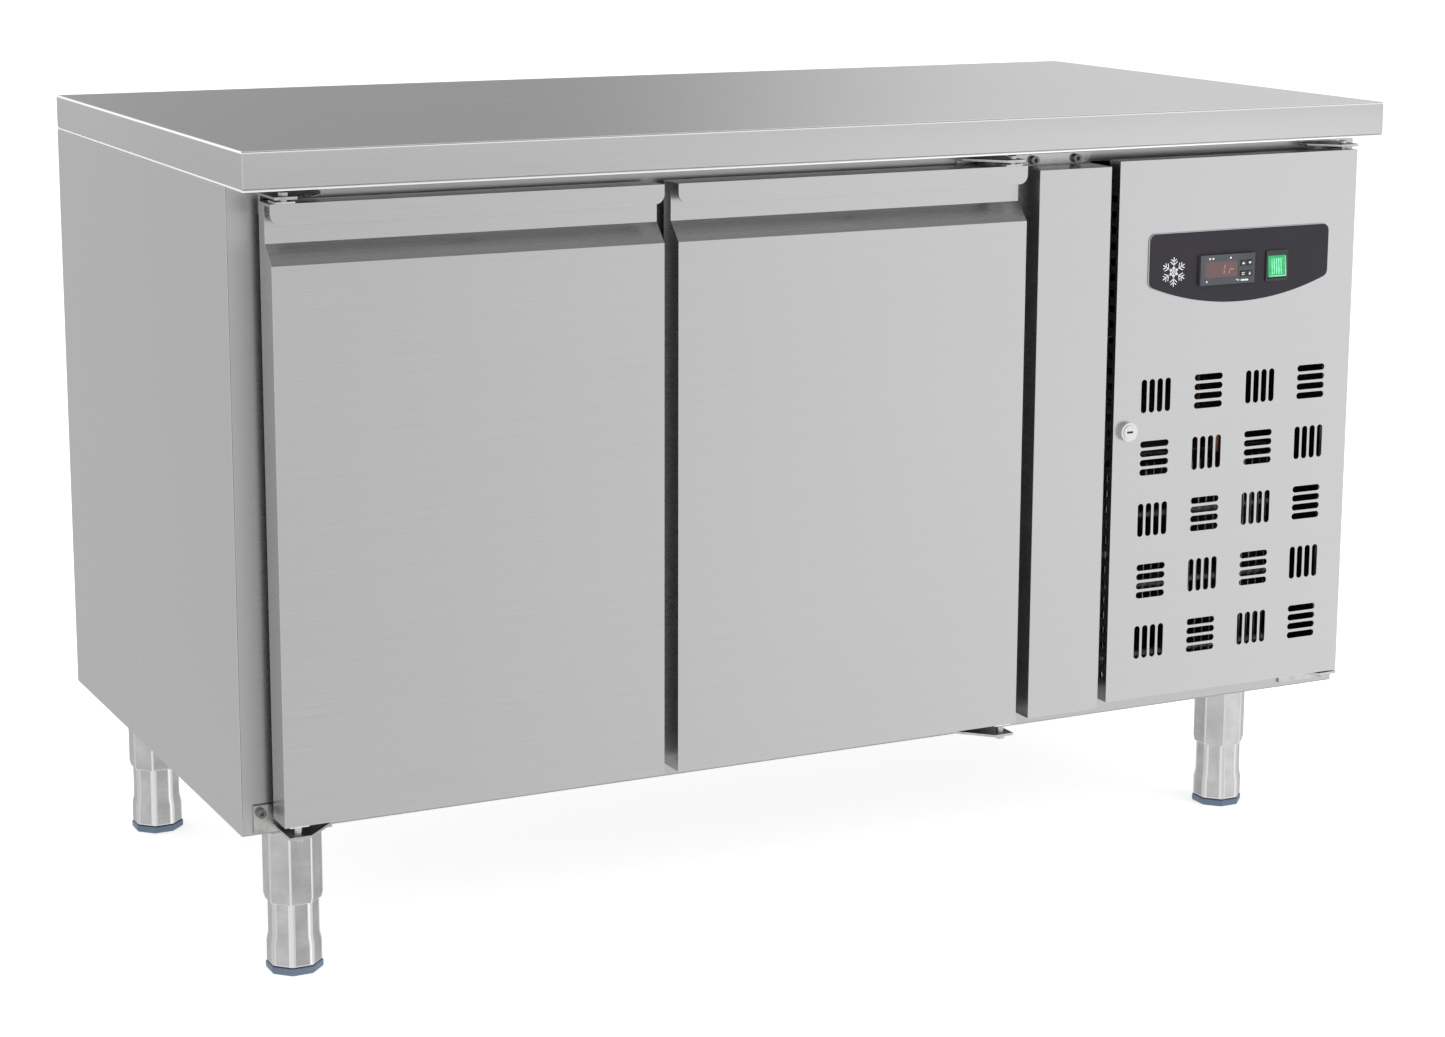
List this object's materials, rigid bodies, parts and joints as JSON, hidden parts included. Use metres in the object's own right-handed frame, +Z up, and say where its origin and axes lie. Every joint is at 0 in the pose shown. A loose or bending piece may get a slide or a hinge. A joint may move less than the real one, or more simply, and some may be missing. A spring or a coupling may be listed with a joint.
{
  "type": "undercounter refrigerator",
  "caption": "Free-standing two-door refrigerated counter with a steel worktop, folded lip handles, a hinged vented service panel with controls, and adjustable legs.",
  "frame": {"origin": "on the floor, below the middle of the worktop", "axes": "+Z up, the doors face -Y, +X along the worktop towards the machine compartment"},
  "size_m": [1.36, 0.7, 0.86],
  "materials": {
    "brushed_steel": "brushed",
    "polished_steel": "satin",
    "liner_steel": "satin",
    "galvanised_steel": "dull",
    "zinc_steel": "satin",
    "board": "raw",
    "foam": "matte",
    "gasket_rubber": "matte",
    "white_plastic": "satin",
    "grey_plastic": "satin",
    "black_plastic": "satin",
    "fascia_film": "satin",
    "dark_screen": "gloss",
    "green_rocker": "gloss",
    "nickel": "polished",
    "coated_wire": "satin",
    "coil_aluminium": "mill",
    "fan_aluminium": "mill",
    "black_enamel": "enamel",
    "copper": "tarnished"
  },
  "bodies": {
    "cabinet": {"worktop": "brushed_steel", "worktop_core": "board", "left_side_panel": "brushed_steel", "right_side_panel": "brushed_steel", "back_panel": "galvanised_steel", "bottom_panel": "galvanised_steel", "front_frame": "brushed_steel", "inner_liner": "liner_steel", "body_foam": "foam", "divider_panel": "galvanised_steel", "pillar_panel": "brushed_steel", "leg_tubes": "polished_steel", "door_hinge_brackets": "zinc_steel", "service_hinge_brackets": "zinc_steel", "hinge_pins": "zinc_steel", "bracket_screws": "zinc_steel", "pilasters": "liner_steel", "shelf_runners": "liner_steel", "left_wire_shelf": "coated_wire", "right_wire_shelf": "coated_wire", "evaporator_cover": "liner_steel", "evaporator_coil": "coil_aluminium", "evaporator_fan_motor": "black_plastic", "condenser_coil": "coil_aluminium", "condenser_shroud": "galvanised_steel", "condenser_fan_motor": "black_plastic", "machine_tray": "galvanised_steel", "compressor": "black_enamel", "cable_gland": "black_plastic", "filter_drier": "copper", "refrigerant_pipes": "copper", "electrical_box": "grey_plastic"},
    "left_door": {"left_door_skin": "brushed_steel", "left_door_liner": "liner_steel", "left_door_foam": "foam", "left_door_gasket": "gasket_rubber", "left_door_bushes": "white_plastic"},
    "right_door": {"right_door_skin": "brushed_steel", "right_door_liner": "liner_steel", "right_door_foam": "foam", "right_door_gasket": "gasket_rubber", "right_door_bushes": "white_plastic"},
    "service_door": {"service_panel": "brushed_steel", "control_fascia": "fascia_film", "controller_housing": "grey_plastic", "controller_screen": "dark_screen", "switch_frame": "black_plastic", "lock_body": "nickel"},
    "lock": {"lock_barrel": "nickel"},
    "power_switch": {"switch_rocker": "green_rocker"},
    "up_button": {"up_key": "grey_plastic"},
    "down_button": {"down_key": "grey_plastic"},
    "set_button": {"set_key": "grey_plastic"},
    "defrost_button": {"defrost_key": "grey_plastic"},
    "evaporator_fan": {"evaporator_fan_blade": "black_plastic"},
    "condenser_fan": {"condenser_fan_blade": "fan_aluminium"},
    "front_left_leg_foot": {"front_left_foot": "polished_steel"},
    "front_right_leg_foot": {"front_right_foot": "polished_steel"},
    "back_left_leg_foot": {"back_left_foot": "polished_steel"},
    "back_right_leg_foot": {"back_right_foot": "polished_steel"}
  },
  "joints": [
    {"name": "left_door_hinge", "type": "hinge", "parent": "cabinet", "child": "left_door", "pos_m": [-0.634, -0.336, 0.493], "axis": [0, 0, -1], "range_deg": [0, 110], "stiffness_Nm_per_rad": 1.2},
    {"name": "right_door_hinge", "type": "hinge", "parent": "cabinet", "child": "right_door", "pos_m": [0.19, -0.336, 0.493], "axis": [0, 0, 1], "range_deg": [0, 110], "stiffness_Nm_per_rad": 1.2},
    {"name": "service_panel_hinge", "type": "hinge", "parent": "cabinet", "child": "service_door", "pos_m": [0.638, -0.331, 0.497], "axis": [0, 0, 1], "range_deg": [0, 110]},
    {"name": "lock_turn", "type": "hinge", "parent": "service_door", "child": "lock", "pos_m": [0.344, -0.343, 0.5015], "axis": [0, 1, 0], "range_deg": [0, 90]},
    {"name": "power_switch_tilt", "type": "hinge", "parent": "service_door", "child": "power_switch", "pos_m": [0.54, -0.343, 0.6775], "axis": [1, 0, 0], "range_deg": [0, 12]},
    {"name": "up_key_press", "type": "slide", "parent": "service_door", "child": "up_button", "axis": [0, 1, 0], "range_m": [0, 0.0006], "stiffness_N_per_m": 600},
    {"name": "down_key_press", "type": "slide", "parent": "service_door", "child": "down_button", "axis": [0, 1, 0], "range_m": [0, 0.0006], "stiffness_N_per_m": 600},
    {"name": "set_key_press", "type": "slide", "parent": "service_door", "child": "set_button", "axis": [0, 1, 0], "range_m": [0, 0.0006], "stiffness_N_per_m": 600},
    {"name": "defrost_key_press", "type": "slide", "parent": "service_door", "child": "defrost_button", "axis": [0, 1, 0], "range_m": [0, 0.0006], "stiffness_N_per_m": 600},
    {"name": "evaporator_fan_spin", "type": "hinge", "parent": "cabinet", "child": "evaporator_fan", "pos_m": [0.1882, 0.02615, 0.64], "axis": [1, 0, 0], "continuous": true},
    {"name": "condenser_fan_spin", "type": "hinge", "parent": "cabinet", "child": "condenser_fan", "pos_m": [0.486, -0.211, 0.321], "axis": [0, 1, 0], "continuous": true},
    {"name": "front_left_foot_screw", "type": "slide", "parent": "cabinet", "child": "front_left_leg_foot", "axis": [0, 0, -1], "range_m": [-0.01, 0.02]},
    {"name": "front_right_foot_screw", "type": "slide", "parent": "cabinet", "child": "front_right_leg_foot", "axis": [0, 0, -1], "range_m": [-0.01, 0.02]},
    {"name": "back_left_foot_screw", "type": "slide", "parent": "cabinet", "child": "back_left_leg_foot", "axis": [0, 0, -1], "range_m": [-0.01, 0.02]},
    {"name": "back_right_foot_screw", "type": "slide", "parent": "cabinet", "child": "back_right_leg_foot", "axis": [0, 0, -1], "range_m": [-0.01, 0.02]}
  ]
}
